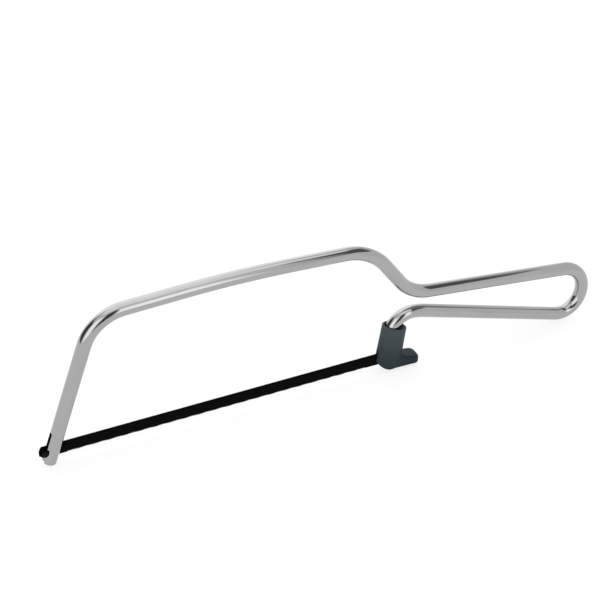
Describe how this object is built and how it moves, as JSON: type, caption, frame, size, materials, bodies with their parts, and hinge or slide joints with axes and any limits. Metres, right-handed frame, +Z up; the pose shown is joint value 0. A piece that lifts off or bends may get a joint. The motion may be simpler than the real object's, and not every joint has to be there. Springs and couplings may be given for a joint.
{
  "type": "bone saw",
  "caption": "Small bow saw: bent round bar frame with a looped grip, fine-toothed pinned blade, and a push-on moulded boot on the rear leg that draws the blade tight.",
  "frame": {"origin": "on the floor under the middle of the saw's length and thickness, saw upright with its blade level", "axes": "+X from the nose to the handle, +Y across the saw's thickness, +Z up from the blade to the spine"},
  "size_m": [0.2546, 0.0086, 0.0677],
  "materials": {
    "bright_bar": "bright plated, drawn round bar",
    "blade_black": "matte black",
    "pin_steel": "matte black",
    "boot_plastic": "fine moulded texture, dark blue-grey"
  },
  "bodies": {
    "frame": {"frame_bar": "bright_bar"},
    "blade": {"saw_blade": "blade_black", "front_blade_pin": "pin_steel", "rear_blade_pin": "pin_steel"},
    "boot": {"tension_boot": "boot_plastic"}
  },
  "joints": [
    {"name": "boot_slide", "type": "slide", "parent": "frame", "child": "boot", "axis": [0.1564, 0, 0.9877], "range_m": [-0.009, 0]},
    {"name": "blade_swing", "type": "hinge", "parent": "frame", "child": "blade", "pos_m": [-0.1251, 0, 0.0064], "axis": [0, 1, 0], "range_deg": [0, 3.5]}
  ],
  "couplings": [
    {"joint": "blade_swing", "follows": "boot_slide", "rad_per_m": -6.5846}
  ]
}
